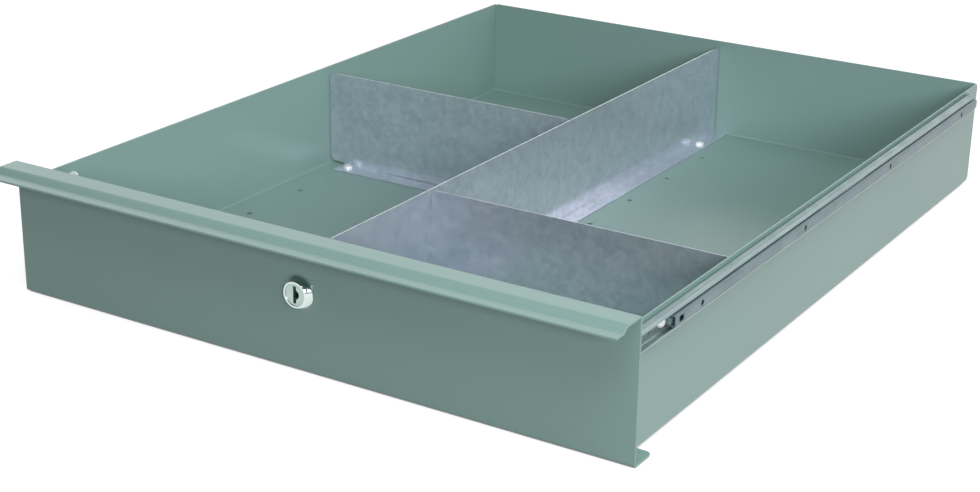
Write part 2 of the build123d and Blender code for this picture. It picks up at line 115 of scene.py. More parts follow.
def power(name, description, default):
    """Power of a light in watts that a user can change."""
    return FloatProperty(name=name, description=description, default=default, min=0.0, unit="POWER")


def spot(name, description, default):
    """A place in the drawer's frame that a user can change."""
    return FloatVectorProperty(
        name=name, description=description, default=default, size=3, subtype="TRANSLATION",
        unit="LENGTH",
    )


def tint(name, description, red, green, blue):
    """A colour that a user can change, given as it looks on a screen, from 0 to 255."""
    shades = [value / 255 for value in (red, green, blue)]
    linear = [((v + 0.055) / 1.055) ** 2.4 if v > 0.04045 else v / 12.92 for v in shades]
    return FloatVectorProperty(
        name=name, description=description, default=linear, size=3, min=0.0, max=1.0,
        subtype="COLOR",
    )


class DrawerFrontSizes(bpy.types.PropertyGroup):
    """Sizes of the front panel"""

    sheet: length("Sheet", "Thickness of the panel's sheet", 0.0015)
    fold: length("Fold", "Inside radius of the panel's two square folds", 0.001)
    grip_reach: length("Grip reach", "Panel face to the front edge of the grip lip", 0.031)
    grip_flat: length("Grip flat", "Panel face to the corner where the lip starts to fall", 0.0168)
    grip_slope: length("Grip slope", "Depth of the falling stretch of the lip", 0.0042)
    grip_drop: length("Grip drop", "Drop of the falling stretch of the lip", 0.0032)
    grip_radius: length("Grip radius", "Radius of the lip's two soft folds", 0.0045)
    flange_corner: length("Flange corner", "Rounding of the bottom flange's back corners", 0.004)
    hole_radius: length("Lock hole", "Radius of the lock's hole", 0.0091)
    hole_flat: length("Lock hole flat", "Middle of the lock's hole to each of its flats", 0.0081)


class DrawerSheetSizes(bpy.types.PropertyGroup):
    """Sizes of the tray and the dividers, and the rounding of all edges"""

    tray_sheet: length("Tray sheet", "Thickness of the tray's sheet", 0.001)
    tray_fold: length("Tray fold", "Inside radius of the tray's folds", 0.001)
    corner_weld: length("Corner weld", "Side of the weld in a back corner of the tray", 0.0034)
    divider_sheet: length("Divider sheet", "Thickness of the dividers' sheet", 0.001)
    divider_fold: length("Divider fold", "Inside radius of the fold at a divider's foot", 0.001)
    divider_corner: length("Divider corner", "Rounding of a divider's corners", 0.005)
    relief_length: length("Relief length", "Wall past each end of a cross divider's foot", 0.0145)
    relief_height: length("Relief height", "Floor to a cross divider's wall past its foot", 0.0023)
    screw_hole: length("Screw hole", "Radius of the dividers' screw holes", 0.0022)
    edge: length("Edge", "Rounding of cut sheet edges", 0.00025)
    fine_edge: length("Fine edge", "Rounding of the edges of slides and lock pieces", 0.00012)
    fold_steps: IntProperty(
        name="Fold steps", description="Faces round a fold", default=8, min=2, max=24
    )


class DrawerScrewSizes(bpy.types.PropertyGroup):
    """Sizes of the pan-head screws"""

    head_radius: length("Head radius", "Radius of a divider screw's head", 0.0038)
    head_height: length("Head height", "Height of a divider screw's head", 0.0024)
    shank_radius: length("Shank radius", "Radius of a divider screw's shank", 0.002)
    recess: length("Recess", "Length of the cross recess of a divider screw", 0.0044)
    slide_head_radius: length("Slide head radius", "Radius of a channel screw's head", 0.0034)
    slide_head_height: length("Slide head height", "Height of a channel screw's head", 0.0022)
    slide_shank_radius: length("Slide shank radius", "Radius of a channel screw's shank", 0.00175)
    slide_recess: length("Slide recess", "Length of the cross recess of a channel screw", 0.004)


class DrawerFinishes(bpy.types.PropertyGroup):
    """Colours and gloss of the drawer's finishes"""

    coat: tint("Coat", "Powder coat", 129, 158, 153)
    coat_dull: tint("Dull coat", "Powder coat where it is clouded", 123, 152, 147)
    coat_gloss: share("Coat roughness", "Roughness of the powder coat", 0.25)
    galvanised: tint("Galvanised", "Light crystals of the galvanised sheet", 226, 231, 242)
    galvanised_dark: tint("Dark galvanised", "Dark crystals of the galvanised sheet", 194, 202, 216)
    zinc: tint("Zinc", "Zinc plate of the slides", 152, 172, 173)
    zinc_dark: tint("Dark zinc", "Zinc plate along the slides' drawing lines", 126, 145, 149)
    # Painted shade: the rails' zinc plate is the slides' zinc made darker, standing in for the
    # shade under the channel's lip
    rail: tint("Rail", "Zinc plate of the cabinet rails", 113, 133, 138)
    rail_dark_painted_shade: tint("Dark rail", "Zinc plate along the rails' drawing lines", 96, 114, 119)
    screw: tint("Screw", "Bright zinc of the screws", 244, 248, 249)
    chrome: tint("Chrome", "Chrome of the lock's bezel", 216, 228, 224)
    satin: tint("Satin", "Satin face of the lock's plug", 182, 202, 194)
    brass: tint("Brass", "Lock wafers", 205, 172, 96)
    cage: tint("Cage", "Ball cages", 150, 158, 160)
    ball: tint("Ball", "Bearing balls", 214, 218, 220)
    rubber: tint("Rubber", "Front bumpers", 104, 122, 126)


class DrawerStage(bpy.types.PropertyGroup):
    """Camera, light and floor"""

    lens: FloatProperty(
        name="Lens", description="Focal length", default=70.31, subtype="DISTANCE_CAMERA"
    )
    camera_place: spot("Camera place", "Where the camera stands", (0.71233, -1.21602, 0.53642))
    azimuth: angle("Azimuth", "Camera's turn round the drawer", 31.702)
    elevation: angle("Elevation", "Camera's angle above the floor", 21.076)
    roll: angle("Roll", "Camera's roll", 0.934)
    key_power: power("Key power", "Power of the light at the front right", 28.0)
    key_place: spot("Key place", "Where the light at the front right hangs", (1.58, -1.88, 0.85))
    key_size: length("Key size", "Side of the square light at the front right", 0.55)
    side_power: power("Side power", "Power of the soft light at the right", 3.0)
    side_place: spot("Side place", "Where the soft light at the right hangs", (1.9, -0.85, 0.75))
    side_size: length("Side size", "Side of the square soft light at the right", 0.8)
    top_power: power("Top power", "Power of the light overhead", 12.6)
    top_place: spot("Top place", "Where the light overhead hangs", (0.5, -0.6, 1.2))
    top_size: length("Top size", "Side of the square light overhead", 0.9)
    rear_power: power("Rear power", "Power of the light over the back", 6.0)
    rear_place: spot("Rear place", "Where the light over the back hangs", (1.2, 0.7, 1.3))
    rear_size: length("Rear size", "Side of the square light over the back", 0.9)
    left_power: power("Left power", "Power of the low light at the back left", 20.0)
    left_place: spot("Left place", "Where the low light at the back left hangs", (-2.3, 0.9, 0.5))
    left_size: length("Left size", "Side of the square light at the back left", 0.8)
    sky: FloatProperty(name="Sky", description="Strength of the light from all round", default=1.0)
    sky_lean: share("Sky lean", "How much more light comes from behind than from the front", 1.0)
    floor: tint("Floor", "Floor", 148, 149, 149)
    floor_radius: length("Floor radius", "Radius of the round floor", 14.0)
    backdrop: length("Backdrop", "Height of the pale wall round the floor", 1.25)
    floor_lift: share("Floor lift", "How far the floor is lifted to white in view", 0.84)


def near(a, b):
    """Whether two places lie within a hundredth of a millimetre."""
    return abs(a - b) < same_place


def corners(node):
    """Lowest and highest corner of a packed node."""
    low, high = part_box(node)
    return Vector(low), Vector(high)


def take(piece):
    """Makes a piece the only selected one, and the active one."""
    bpy.ops.object.select_all(action="DESELECT")
    piece.select_set(True)
    bpy.context.view_layer.objects.active = piece


def settle(piece):
    """Puts a piece's place, turn and scale into its mesh."""
    take(piece)
    bpy.ops.object.transform_apply(location=True, rotation=True, scale=True)


def edit(piece):
    """Opens a piece in edit mode."""
    take(piece)
    bpy.ops.object.mode_set(mode="EDIT")


def leave():
    """Goes back to object mode."""
    bpy.ops.object.mode_set(mode="OBJECT")


def pick(kind, test):
    """Selects the vertices, edges or faces of the open piece whose middle passes the test."""
    bpy.ops.mesh.select_mode(type=kind)
    bpy.ops.mesh.select_all(action="DESELECT")
    data = bpy.context.edit_object.data
    mesh = bmesh.from_edit_mesh(data)
    found = 0
    for part in {"VERT": mesh.verts, "EDGE": mesh.edges, "FACE": mesh.faces}[kind]:
        points = [part.co] if kind == "VERT" else [vertex.co for vertex in part.verts]
        if test(sum(points, Vector()) / len(points)):
            part.select_set(True)
            found += 1
    if not found:
        raise RuntimeError(f"nothing to select on {data.name}")
    mesh.select_flush_mode()
    bmesh.update_edit_mesh(data)


def push(x, y, z):
    """Extrudes what is selected."""
    bpy.ops.mesh.extrude_region_move(TRANSFORM_OT_translate={"value": (x, y, z)})


def fold(test, radius, turn, steps):
    """Rounds a fold of the open sheet, where turn is the angle that the sheet bends by."""
    pick("EDGE", test)
    offset = radius * math.tan(turn / 2)
    bpy.ops.mesh.bevel(offset=offset, segments=steps, affect="EDGES", clamp_overlap=False)


def round_corners(test, radius, steps):
    """Rounds corners of the open sheet in its own plane."""
    pick("VERT", test)
    bpy.ops.mesh.bevel(offset=radius, segments=steps, affect="VERTICES", clamp_overlap=False)


def modify(piece, kind, **settings):
    """Adds a modifier to a piece and applies it."""
    take(piece)
    bpy.ops.object.modifier_add(type=kind)
    modifier = piece.modifiers[-1]
    for setting, value in settings.items():
        setattr(modifier, setting, value)
    bpy.ops.object.modifier_apply(modifier=modifier.name)


def flat_sheet(name, middle, turn, size):
    """Adds a flat sheet at its size and place."""
    bpy.ops.object.select_all(action="DESELECT")
    turns = [math.radians(a) for a in turn]
    bpy.ops.mesh.primitive_plane_add(size=1, location=middle, rotation=turns)
    piece = bpy.context.object
    piece.name = name
    piece.scale = (*size, 1)
    settle(piece)
    return piece


def thicken(piece, sheet, outside):
    """Gives a folded sheet its thickness, away from the side that its widest face looks to."""
    edit(piece)
    bpy.ops.mesh.select_all(action="SELECT")
    bpy.ops.mesh.normals_make_consistent(inside=False)
    mesh = bmesh.from_edit_mesh(piece.data)
    widest = max(mesh.faces, key=lambda face: face.calc_area())
    if widest.normal.dot(Vector(outside)) < 0:
        bpy.ops.mesh.flip_normals()
    leave()
    modify(piece, "SOLIDIFY", thickness=sheet, offset=-1.0, use_even_offset=True)


def rod(name, middle, turn, radius, depth, sides):
    """Adds a rod that is shaped further or cuts another piece."""
    bpy.ops.object.select_all(action="DESELECT")
    turns = [math.radians(a) for a in turn]
    bpy.ops.mesh.primitive_cylinder_add(
        vertices=sides, radius=radius, depth=depth, location=middle, rotation=turns
    )
    piece = bpy.context.object
    piece.name = name
    settle(piece)
    return piece


def cut(piece, tool):
    """Takes a tool's shape out of a piece and drops the tool."""
    modify(piece, "BOOLEAN", operation="DIFFERENCE", solver="EXACT", object=tool)
    bpy.data.objects.remove(tool)


def ease(piece, width, steps=2):
    """Rounds a piece's sharp edges and smooths its curved faces."""
    if width:
        modify(
            piece, "BEVEL", width=width, segments=steps, limit_method="ANGLE",
            angle_limit=sharp_angle, use_clamp_overlap=True,
        )
    take(piece)
    bpy.ops.object.shade_smooth_by_angle(angle=smooth_angle)
    modify(piece, "WEIGHTED_NORMAL", mode="FACE_AREA", weight=face_weight, keep_sharp=True)


def eased_copy(node, name, width, steps=2):
    """Copies a packed node, merges its faces and rounds its edges."""
    take(frame["nodes"][node])
    bpy.ops.object.duplicate()
    piece = bpy.context.object
    piece.name = name
    for key in list(piece.keys()):
        del piece[key]
    bpy.ops.object.parent_clear(type="CLEAR_KEEP_TRANSFORM")
    edit(piece)
    bpy.ops.mesh.select_all(action="SELECT")
    bpy.ops.mesh.remove_doubles(threshold=weld_gap)
    bpy.ops.mesh.dissolve_limited(angle_limit=flat_angle)
    leave()
    take(piece)
    bpy.ops.mesh.customdata_custom_splitnormals_clear()
    ease(piece, width, steps)
    return piece


def solid_middles(node):
    """Middle of the box of each solid of a packed node."""
    mesh = bmesh.new()
    mesh.from_mesh(frame["nodes"][node].data)
    bmesh.ops.remove_doubles(mesh, verts=mesh.verts, dist=weld_gap)
    left, middles = set(mesh.verts), []
    while left:
        group, queue = set(), [left.pop()]
        while queue:
            vertex = queue.pop()
            group.add(vertex)
            for edge in vertex.link_edges:
                other = edge.other_vert(vertex)
                if other in left:
                    left.discard(other)
                    queue.append(other)
        spans = [[vertex.co[i] for vertex in group] for i in range(3)]
        middles.append(Vector([(min(span) + max(span)) / 2 for span in spans]))
    mesh.free()
    return sorted(middles, key=lambda middle: (round(middle.x, 4), round(middle.y, 4)))


def drill_foot(wall, low, high, radius):
    """Drills a divider's foot wherever a divider screw goes through it."""
    for place in solid_middles("divider_screws"):
        if low.x < place.x < high.x and low.y < place.y < high.y:
            foot = (place.x, place.y, low.z)
            tool = rod("screw_hole", foot, (0, 0, 0), radius, drill_length, screw_hole_sides)
            cut(wall, tool)


def dress(piece, body, material, node):
    """Gives a new piece its finish and its body, in place of a packed node."""
    piece.data.materials.clear()
    piece.data.materials.append(material)
    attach(piece, body)
    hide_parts(node)


def coat_node(node, material):
    """Gives a packed node that stays its finish."""
    for slot in frame["nodes"][node].material_slots:
        slot.material = material


def new_finish(name):
    """A new node material, with its shader and its place in the drawer."""
    material = bpy.data.materials.new(name)
    material.use_nodes = True
    tree = material.node_tree
    place = tree.nodes.new("ShaderNodeTexCoord").outputs["Object"]
    return material, tree, tree.nodes["Principled BSDF"], place


def mapped(tree, place, scale, location=(0, 0, 0)):
    """The place, moved and drawn out."""
    node = tree.nodes.new("ShaderNodeMapping")
    node.inputs["Location"].default_value = location
    node.inputs["Scale"].default_value = scale
    tree.links.new(place, node.inputs["Vector"])
    return node.outputs["Vector"]


def noise(tree, place, scale, detail=2.0, rough=0.5):
    """Noise whose grains are about 1 / scale metres across."""
    node = tree.nodes.new("ShaderNodeTexNoise")
    node.inputs["Scale"].default_value = scale
    node.inputs["Detail"].default_value = detail
    node.inputs["Roughness"].default_value = rough
    tree.links.new(place, node.inputs["Vector"])
    return node.outputs["Fac"]


def spread(tree, value, source, target):
    """A value spread from one range to another."""
    node = tree.nodes.new("ShaderNodeMapRange")
    sockets = ("From Min", "From Max", "To Min", "To Max")
    for socket, number in zip(sockets, (*source, *target)):
        node.inputs[socket].default_value = number
    tree.links.new(value, node.inputs["Value"])
    return node.outputs["Result"]


def reckon(tree, operation, first, second):
    """A sum or product of a value with a value or a number."""
    node = tree.nodes.new("ShaderNodeMath")
    node.operation = operation
    for socket, value in zip(node.inputs, (first, second)):
        if isinstance(value, (int, float)):
            socket.default_value = value
        else:
            tree.links.new(value, socket)
    return node.outputs["Value"]


def between(tree, factor, first, second):
    """A colour between two colours."""
    node = tree.nodes.new("ShaderNodeMix")
    node.data_type = "RGBA"
    tree.links.new(factor, node.inputs[0])
    node.inputs[6].default_value = (*first, 1)
    node.inputs[7].default_value = (*second, 1)
    return node.outputs[2]


def relief(tree, shader, height, strength, depth):
    """Fine relief of a surface, of that depth in metres."""
    node = tree.nodes.new("ShaderNodeBump")
    node.inputs["Strength"].default_value = strength
    node.inputs["Distance"].default_value = depth
    tree.links.new(height, node.inputs["Height"])
    tree.links.new(node.outputs["Normal"], shader.inputs["Normal"])


def toned(colour, factor):
    """A colour made darker or lighter."""
    return [min(1, value * factor) for value in colour]


def paint(tree, shader, colour, roughness):
    """Gives a shader its colour and its roughness."""
    tree.links.new(colour, shader.inputs["Base Color"])
    tree.links.new(roughness, shader.inputs["Roughness"])


def crystals(tree, place, scale, waver):
    """Random value of each crystal of a zinc layer, with feathered borders."""
    feather_scale, feather_detail = scale * 1.7, 3.0
    stir = tree.nodes.new("ShaderNodeTexNoise")
    stir.inputs["Scale"].default_value = feather_scale
    stir.inputs["Detail"].default_value = feather_detail
    tree.links.new(place, stir.inputs["Vector"])
    shift = tree.nodes.new("ShaderNodeVectorMath")
    shift.operation = "MULTIPLY_ADD"
    shift.inputs[1].default_value = (waver, waver, waver)
    tree.links.new(stir.outputs["Color"], shift.inputs[0])
    tree.links.new(place, shift.inputs[2])
    cells = tree.nodes.new("ShaderNodeTexVoronoi")
    cells.inputs["Scale"].default_value = scale
    tree.links.new(shift.outputs["Vector"], cells.inputs["Vector"])
    split = tree.nodes.new("ShaderNodeSeparateColor")
    tree.links.new(cells.outputs["Color"], split.inputs["Color"])
    return split.outputs["Red"]


def powder_coat(looks):
    """Grey-green powder coat: fine orange peel, faint clouding and patches of other gloss."""
    material, tree, shader, place = new_finish("powder_coat_finish")
    shader.inputs["Specular IOR Level"].default_value = 0.3
    clouds = spread(tree, noise(tree, place, scale=5), (0.15, 0.85), (0, 0.6))
    specks = spread(tree, noise(tree, place, scale=2400, detail=1), (0.3, 0.7), (0, 0.4))
    shade = reckon(tree, "ADD", clouds, specks)
    patches, play = noise(tree, place, scale=8, detail=1), 0.015
    gloss = (looks.coat_gloss - play, looks.coat_gloss + play)
    colour = between(tree, shade, looks.coat, looks.coat_dull)
    paint(tree, shader, colour, spread(tree, patches, (0.1, 0.9), gloss))
    peel = noise(tree, place, scale=620, rough=0.45)
    relief(tree, shader, peel, strength=0.16, depth=0.0001)
    return material


def galvanised_sheet(looks):
    """Galvanised sheet: frosted crystals of zinc, faint rolling lines and a dull sheen."""
    material, tree, shader, place = new_finish("galvanised_finish")
    shader.inputs["Metallic"].default_value = 0.75
    large = reckon(tree, "MULTIPLY", crystals(tree, place, scale=120, waver=0.006), 0.4)
    small = reckon(tree, "MULTIPLY", crystals(tree, place, scale=330, waver=0.003), 0.48)
    rolled = noise(tree, mapped(tree, place, scale=(1, 1, 0.06)), scale=420)
    lines = spread(tree, rolled, (0.35, 0.65), (0, 0.12))
    shade = reckon(tree, "ADD", reckon(tree, "ADD", large, small), lines)
    colour = between(tree, shade, looks.galvanised, looks.galvanised_dark)
    paint(tree, shader, colour, spread(tree, shade, (0.1, 0.9), (0.19, 0.24)))
    relief(tree, shader, noise(tree, place, scale=120), strength=0.03, depth=0.0001)
    return material


def drawn_zinc(name, light, dark):
    """Zinc plate of the slides: bluish, with fine lines along their length."""
    material, tree, shader, place = new_finish(name)
    shader.inputs["Metallic"].default_value = 0.5
    lines = noise(tree, mapped(tree, place, scale=(1, 0.012, 1)), scale=1500, detail=3)
    drawn = spread(tree, lines, (0.3, 0.7), (0, 0.55))
    bloom = spread(tree, noise(tree, place, scale=45, detail=3), (0.35, 0.7), (0, 0.45))
    shade = reckon(tree, "ADD", drawn, bloom)
    colour = between(tree, shade, light, dark)
    paint(tree, shader, colour, spread(tree, shade, (0.1, 0.9), (0.28, 0.42)))
    relief(tree, shader, lines, strength=0.1, depth=0.00005)
    return material


def bright_metal(name, colour, gloss, scale, depth, metallic=1.0):
    """Plated or polished metal: clouded gloss and a trace of grain."""
    material, tree, shader, place = new_finish(name)
    shader.inputs["Metallic"].default_value = metallic
    cloud = noise(tree, place, scale, detail=3)
    dulled = between(tree, spread(tree, cloud, (0.35, 0.75), (0, 1)), colour, toned(colour, 0.86))
    paint(tree, shader, dulled, spread(tree, cloud, (0.3, 0.7), gloss))
    relief(tree, shader, noise(tree, place, scale * 4), strength=0.15, depth=depth)
    return material


def turned_satin(looks):
    """Satin face of the lock's plug: fine rings from the lathe round its axis."""
    material, tree, shader, place = new_finish("satin_finish")
    shader.inputs["Metallic"].default_value = 1.0
    low, high = corners("lock_housing")
    axis = (low + high) / 2
    reach = tree.nodes.new("ShaderNodeVectorMath")
    reach.operation = "LENGTH"
    across = mapped(tree, place, scale=(1, 0, 1), location=(-axis.x, 0, -axis.z))
    tree.links.new(across, reach.inputs[0])
    lathe = tree.nodes.new("ShaderNodeTexNoise")
    lathe.noise_dimensions = "1D"
    lathe.inputs["Scale"].default_value = 3200
    tree.links.new(reach.outputs["Value"], lathe.inputs["W"])
    rings = lathe.outputs["Fac"]
    wear = spread(tree, noise(tree, place, scale=260, detail=3), (0.4, 0.7), (0, 0.4))
    shade = reckon(tree, "ADD", spread(tree, rings, (0.3, 0.7), (0, 0.6)), wear)
    colour = between(tree, shade, looks.satin, toned(looks.satin, 0.8))
    paint(tree, shader, colour, spread(tree, shade, (0, 1), (0.28, 0.4)))
    relief(tree, shader, rings, strength=0.2, depth=0.00004)
    return material


def bumper_rubber(looks):
    """Grey rubber with a dusty, pitted skin."""
    material, tree, shader, place = new_finish("rubber_finish")
    dust = noise(tree, place, scale=900, detail=4, rough=0.6)
    dusty = spread(tree, dust, (0.45, 0.8), (0, 1))
    colour = between(tree, dusty, looks.rubber, toned(looks.rubber, 1.4))
    paint(tree, shader, colour, spread(tree, dust, (0.3, 0.7), (0.55, 0.8)))
    relief(tree, shader, dust, strength=0.3, depth=0.00008)
    return material


def finish(name):
    """A finish by its name, made when it is first asked for."""
    made = bpy.data.materials.get(name)
    return made or finish_makers[name](bpy.context.scene.drawer_finishes)


finish_makers = {
    "powder_coat_finish": powder_coat,
    "galvanised_finish": galvanised_sheet,
    "drawn_zinc_finish": lambda looks: drawn_zinc("drawn_zinc_finish", looks.zinc, looks.zinc_dark),
    # The rails' finish is the slides' zinc darkened as painted shade
    "rail_finish": lambda looks: drawn_zinc("rail_finish", looks.rail, looks.rail_dark_painted_shade),
    "satin_finish": turned_satin,
    "rubber_finish": bumper_rubber,
    "screw_finish": lambda looks: bright_metal(
        "screw_finish", looks.screw, gloss=(0.28, 0.38), scale=420, depth=0.00003, metallic=0.4
    ),
    "chrome_finish": lambda looks: bright_metal(
        "chrome_finish", looks.chrome, gloss=(0.05, 0.12), scale=160, depth=0.00002
    ),
    "brass_finish": lambda looks: bright_metal(
        "brass_finish", looks.brass, gloss=(0.28, 0.4), scale=300, depth=0.00003
    ),
    "cage_finish": lambda looks: bright_metal(
        "cage_finish", looks.cage, gloss=(0.3, 0.45), scale=240, depth=0.00004
    ),
    "ball_finish": lambda looks: bright_metal(
        "ball_finish", looks.ball, gloss=(0.05, 0.14), scale=700, depth=0.00001
    ),
}


def pan_screw(name, head_radius, head_height, shank_radius, shank, recess):
    """An upright pan-head screw with a cross recess, its head's underside at the origin."""
    rim = head_height * rim_share
    screw = rod(name, (0, 0, rim / 2), (0, 0, 0), head_radius, rim, screw_head_sides)
    edit(screw)
    pick("FACE", lambda p: near(p.z, 0))
    bpy.ops.mesh.inset(thickness=head_radius - shank_radius)
    push(0, 0, -shank)
    pick("FACE", lambda p: near(p.z, rim))
    for step in range(dome_steps):
        start, end = (math.pi / 2 * count / dome_steps for count in (step, step + 1))
        push(0, 0, (head_height - rim) * (math.sin(end) - math.sin(start)))
        closing = math.cos(end * dome_share) / math.cos(start * dome_share)
        bpy.ops.transform.resize(value=(closing, closing, 1))
    leave()
    for turn in (0, math.pi / 2):
        bpy.ops.object.select_all(action="DESELECT")
        bpy.ops.mesh.primitive_cube_add(
            size=1, location=(0, 0, head_height), rotation=(0, 0, turn)
        )
        tool = bpy.context.object
        tool.scale = (recess, recess * blade_share, head_height)
        settle(tool)
        edit(tool)
        pick("FACE", lambda p: near(p.z, head_height / 2))
        bpy.ops.transform.resize(value=(taper_share, taper_share, 1))
        leave()
        cut(screw, tool)
    ease(screw, min(head_radius, head_height) * head_edge_share)
    return screw


class DRAWER_OT_front_panel(bpy.types.Operator):
    """Fold the front panel, with its grip lip, bottom flange and lock hole"""

    bl_idname = "drawer.front_panel"
    bl_label = "Front panel"

    def execute(self, context):
        front, sizes = context.scene.drawer_front, context.scene.drawer_sheet
        low, high = corners("front_panel")
        face, under = low.y + front.grip_reach, high.z - front.sheet
        crest, tip = face - front.grip_flat, face - front.grip_flat - front.grip_slope
        size = (high.x - low.x, under)
        panel = flat_sheet("front_panel_sheet", (0, face, under / 2), (90, 0, 0), size)
        edit(panel)
        pick("EDGE", lambda p: near(p.z, under))
        push(0, -front.grip_flat, 0)
        push(0, -front.grip_slope, -front.grip_drop)
        push(0, low.y - tip, 0)
        pick("EDGE", lambda p: near(p.z, 0))
        push(0, high.y - face, 0)
        square, soft = math.pi / 2, math.atan2(front.grip_drop, front.grip_slope)
        steps = sizes.fold_steps
        for y, z, radius, turn in (
            (face, 0, front.fold + front.sheet, square),
            (face, under, front.fold, square),
            (crest, under, front.grip_radius + front.sheet, soft),
            (tip, under - front.grip_drop, front.grip_radius, soft),
        ):
            fold(lambda p: near(p.x, 0) and near(p.y, y) and near(p.z, z), radius, turn, steps)
        round_corners(lambda p: near(p.y, high.y) and near(p.z, 0), front.flange_corner, steps)
        leave()
        thicken(panel, front.sheet, (0, -1, 0))
        self.cut_lock_hole(panel, front, face)
        ease(panel, sizes.edge, 3)
        dress(panel, "drawer", finish("powder_coat_finish"), "front_panel")
        return {"FINISHED"}

    def cut_lock_hole(self, panel, front, face):
        """Cuts the lock's round hole with its two flats."""
        low, high = corners("lock_housing")
        middle, through = (low + high) / 2, 4 * front.sheet
        place = (middle.x, face, middle.z)
        tool = rod("lock_hole", place, (90, 0, 0), front.hole_radius, through, lock_hole_sides)
        edit(tool)
        for side in (-1, 1):
            bpy.ops.mesh.select_all(action="SELECT")
            bpy.ops.mesh.bisect(
                plane_co=(side * front.hole_flat, 0, 0), plane_no=(side, 0, 0), use_fill=True,
                clear_outer=True,
            )
        leave()
        cut(panel, tool)


class DRAWER_OT_tray(bpy.types.Operator):
    """Make the folded tray, with its seams and screw holes, and weld its back corners shut"""

    bl_idname = "drawer.tray"
    bl_label = "Tray"
    sink = 0.00001  # weld below the faces of the sheet
    weld_steps = 6

    def execute(self, context):
        sizes = context.scene.drawer_sheet
        tray = eased_copy("drawer_tray", "tray_sheet", sizes.edge, 3)
        low, high = corners("drawer_tray")
        for corner, way in ((low.x, 1), (high.x, -1)):
            inward = Vector((way, -1, 1))
            tip = Vector((corner, high.y, low.z)) + inward * self.sink
            outer = sizes.tray_fold + sizes.tray_sheet
            weld = self.rounded_block(tip, inward, sizes.corner_weld, outer)
            inner_tip = tip + inward * (sizes.tray_sheet - 2 * self.sink)
            cut(weld, self.rounded_block(inner_tip, inward, 2 * sizes.corner_weld, sizes.tray_fold))
            ease(weld, 0)
            take(tray)
            weld.select_set(True)
            bpy.ops.object.join()
        dress(tray, "drawer", finish("powder_coat_finish"), "drawer_tray")
        return {"FINISHED"}

    def rounded_block(self, tip, inward, size, radius):
        """A cube that reaches inward from a tip, with the three edges at the tip rounded."""
        bpy.ops.object.select_all(action="DESELECT")
        bpy.ops.mesh.primitive_cube_add(size=size, location=tip + inward * (size / 2))
        block = bpy.context.object
        settle(block)
        edit(block)
        pick("EDGE", lambda p: near((p - tip).length, size / 2))
        bpy.ops.mesh.bevel(
            offset=radius, segments=self.weld_steps, affect="EDGES", clamp_overlap=False
        )
        leave()
        return block


class DRAWER_OT_long_divider(bpy.types.Operator):
    """Fold the divider that runs from the front to the back"""

    bl_idname = "drawer.long_divider"
    bl_label = "Long divider"

    def execute(self, context):
        sizes = context.scene.drawer_sheet
        low, high = corners("long_divider")
        steps = sizes.fold_steps
        middle = (low.x, (low.y + high.y) / 2, (low.z + high.z) / 2)
        size = (high.z - low.z, high.y - low.y)
        wall = flat_sheet("long_divider_sheet", middle, (0, -90, 0), size)
        edit(wall)
        pick("EDGE", lambda p: near(p.z, low.z))
        push(high.x - low.x, 0, 0)
        round_corners(
            lambda p: near(p.z, high.z) or near(p.x, high.x), sizes.divider_corner, steps
        )
        outer = sizes.divider_fold + sizes.divider_sheet
        fold(lambda p: near(p.x, low.x) and near(p.z, low.z), outer, math.pi / 2, steps)
        leave()
        thicken(wall, sizes.divider_sheet, (-1, 0, 0))
        drill_foot(wall, low, high, sizes.screw_hole)
        ease(wall, sizes.edge)
        dress(wall, "drawer", finish("galvanised_finish"), "long_divider")
        return {"FINISHED"}


class DRAWER_OT_cross_dividers(bpy.types.Operator):
    """Fold the two dividers that run across, their feet cut back at both ends"""

    bl_idname = "drawer.cross_dividers"
    bl_label = "Cross dividers"

    def execute(self, context):
        sizes = context.scene.drawer_sheet
        steps = sizes.fold_steps
        for node in ("cross_divider_left", "cross_divider_right"):
            low, high = corners(node)
            middle = ((low.x + high.x) / 2, high.y, (low.z + high.z) / 2)
            size = (high.x - low.x, high.z - low.z)
            wall = flat_sheet(f"{node}_sheet", middle, (-90, 0, 0), size)
            foot_left, foot_right = low.x + sizes.relief_length, high.x - sizes.relief_length
            lifted = low.z + sizes.relief_height
            edit(wall)
            for place, way in (
                ((foot_left, 0, 0), (1, 0, 0)),
                ((foot_right, 0, 0), (1, 0, 0)),
                ((0, 0, lifted), (0, 0, 1)),
            ):
                bpy.ops.mesh.select_all(action="SELECT")
                bpy.ops.mesh.bisect(plane_co=place, plane_no=way)
            pick("FACE", lambda p: p.z < lifted and not foot_left < p.x < foot_right)
            bpy.ops.mesh.delete(type="FACE")
            pick("EDGE", lambda p: near(p.z, low.z))
            push(0, low.y - high.y, 0)
            round_corners(
                lambda p: (near(p.x, low.x) or near(p.x, high.x))
                and (near(p.z, high.z) or near(p.z, lifted)),
                sizes.divider_corner, steps,
            )
            outer = sizes.divider_fold + sizes.divider_sheet
            fold(lambda p: near(p.y, high.y) and near(p.z, low.z), outer, math.pi / 2, steps)
            leave()
            thicken(wall, sizes.divider_sheet, (0, 1, 0))
            drill_foot(wall, low, high, sizes.screw_hole)
            ease(wall, sizes.edge)
            dress(wall, "drawer", finish("galvanised_finish"), node)
        return {"FINISHED"}


